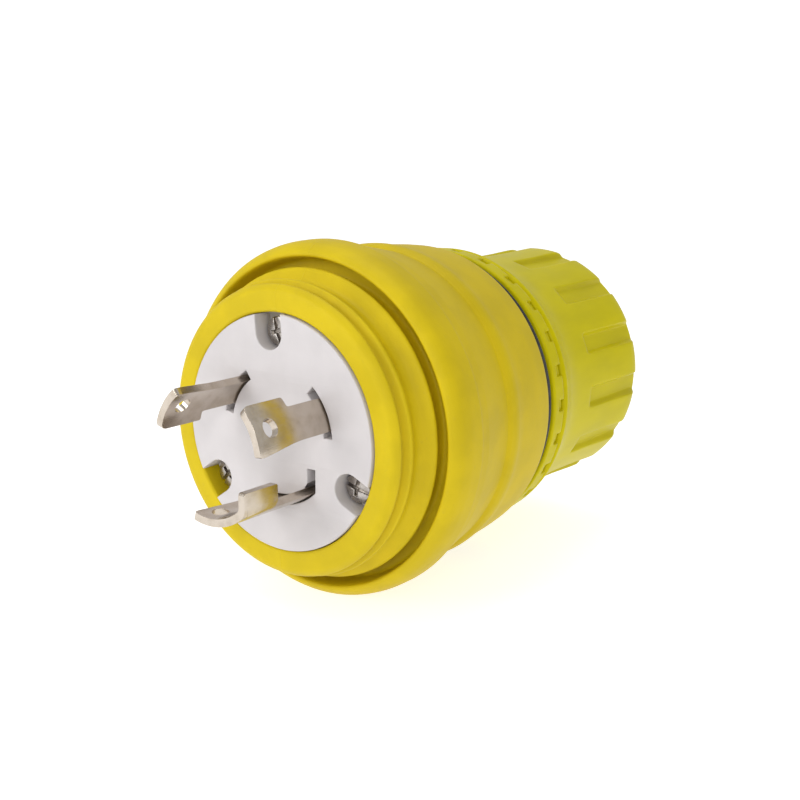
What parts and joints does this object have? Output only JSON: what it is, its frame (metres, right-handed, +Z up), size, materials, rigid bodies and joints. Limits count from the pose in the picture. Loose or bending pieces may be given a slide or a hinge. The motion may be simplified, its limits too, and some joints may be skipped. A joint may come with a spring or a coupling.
{
  "type": "watertight twist-lock plug",
  "caption": "watertight twist-lock electrical plug with curved locking blades, sealing rubber boot and compression gland nut",
  "frame": {"origin": "centre of the white mating face", "axes": "+Y runs from the mating face to the cord end, so the blades point along -Y; +Z is up with the notch nearest the top at 95 degrees; +X is to the right seen from the front"},
  "size_m": [0.0726, 0.1157, 0.0726],
  "materials": {
    "yellow_rubber": "satin moulded rubber",
    "lime_nylon": "semi-gloss moulded nylon",
    "white_insulator": "satin moulded plastic",
    "ivory_insulator": "satin moulded plastic",
    "dark_rubber": "matte",
    "plated_blade": "bright nickel plating on brass",
    "bare_brass": "satin",
    "plated_steel": "satin zinc plating",
    "green_screw_metal": "green dyed plating",
    "slip_ring_nylon": "smooth natural nylon"
  },
  "bodies": {
    "plug_body": {"boot": "yellow_rubber", "housing": "lime_nylon", "face": "white_insulator", "face_gasket": "dark_rubber", "terminal_body": "ivory_insulator", "line_blade": "plated_blade", "neutral_blade": "plated_blade", "ground_blade": "plated_blade", "assembly_screws": "plated_steel", "threaded_inserts": "bare_brass", "o_ring": "dark_rubber", "grommet": "dark_rubber"},
    "slip_ring_body": {"slip_ring": "slip_ring_nylon"},
    "nut_body": {"nut": "lime_nylon"},
    "line_clamp_body": {"line_clamp": "bare_brass"},
    "line_screw_body": {"line_screw": "bare_brass"},
    "neutral_clamp_body": {"neutral_clamp": "bare_brass"},
    "neutral_screw_body": {"neutral_screw": "plated_steel"},
    "ground_clamp_body": {"ground_clamp": "bare_brass"},
    "ground_screw_body": {"ground_screw": "green_screw_metal"}
  },
  "joints": [
    {"name": "slip_travel", "type": "slide", "parent": "plug_body", "child": "slip_ring_body", "axis": [0, 1, 0], "range_m": [0, 0.0101]},
    {"name": "nut_turn", "type": "hinge", "parent": "slip_ring_body", "child": "nut_body", "pos_m": [0, 0.07, 0], "axis": [0, 1, 0], "range_deg": [0, 900]},
    {"name": "line_clamp_travel", "type": "slide", "parent": "plug_body", "child": "line_clamp_body", "axis": [0, -1, 0], "range_m": [0, 0.0028]},
    {"name": "line_screw_turn", "type": "hinge", "parent": "line_clamp_body", "child": "line_screw_body", "pos_m": [0.01582, 0.0255, 0.00771], "axis": [0, -1, 0], "range_deg": [0, 1270]},
    {"name": "neutral_clamp_travel", "type": "slide", "parent": "plug_body", "child": "neutral_clamp_body", "axis": [0, -1, 0], "range_m": [0, 0.0028]},
    {"name": "neutral_screw_turn", "type": "hinge", "parent": "neutral_clamp_body", "child": "neutral_screw_body", "pos_m": [-0.01459, 0.0255, 0.00984], "axis": [0, -1, 0], "range_deg": [0, 1270]},
    {"name": "ground_clamp_travel", "type": "slide", "parent": "plug_body", "child": "ground_clamp_body", "axis": [0, -1, 0], "range_m": [0, 0.0028]},
    {"name": "ground_screw_turn", "type": "hinge", "parent": "ground_clamp_body", "child": "ground_screw_body", "pos_m": [0.00275, 0.0255, -0.01738], "axis": [0, -1, 0], "range_deg": [0, 1270]}
  ],
  "couplings": [
    {"joint": "slip_travel", "follows": "nut_turn", "m_per_rad": 0.00063662},
    {"joint": "line_screw_turn", "follows": "line_clamp_travel", "rad_per_m": 7913.4},
    {"joint": "neutral_screw_turn", "follows": "neutral_clamp_travel", "rad_per_m": 7913.4},
    {"joint": "ground_screw_turn", "follows": "ground_clamp_travel", "rad_per_m": 7913.4}
  ]
}
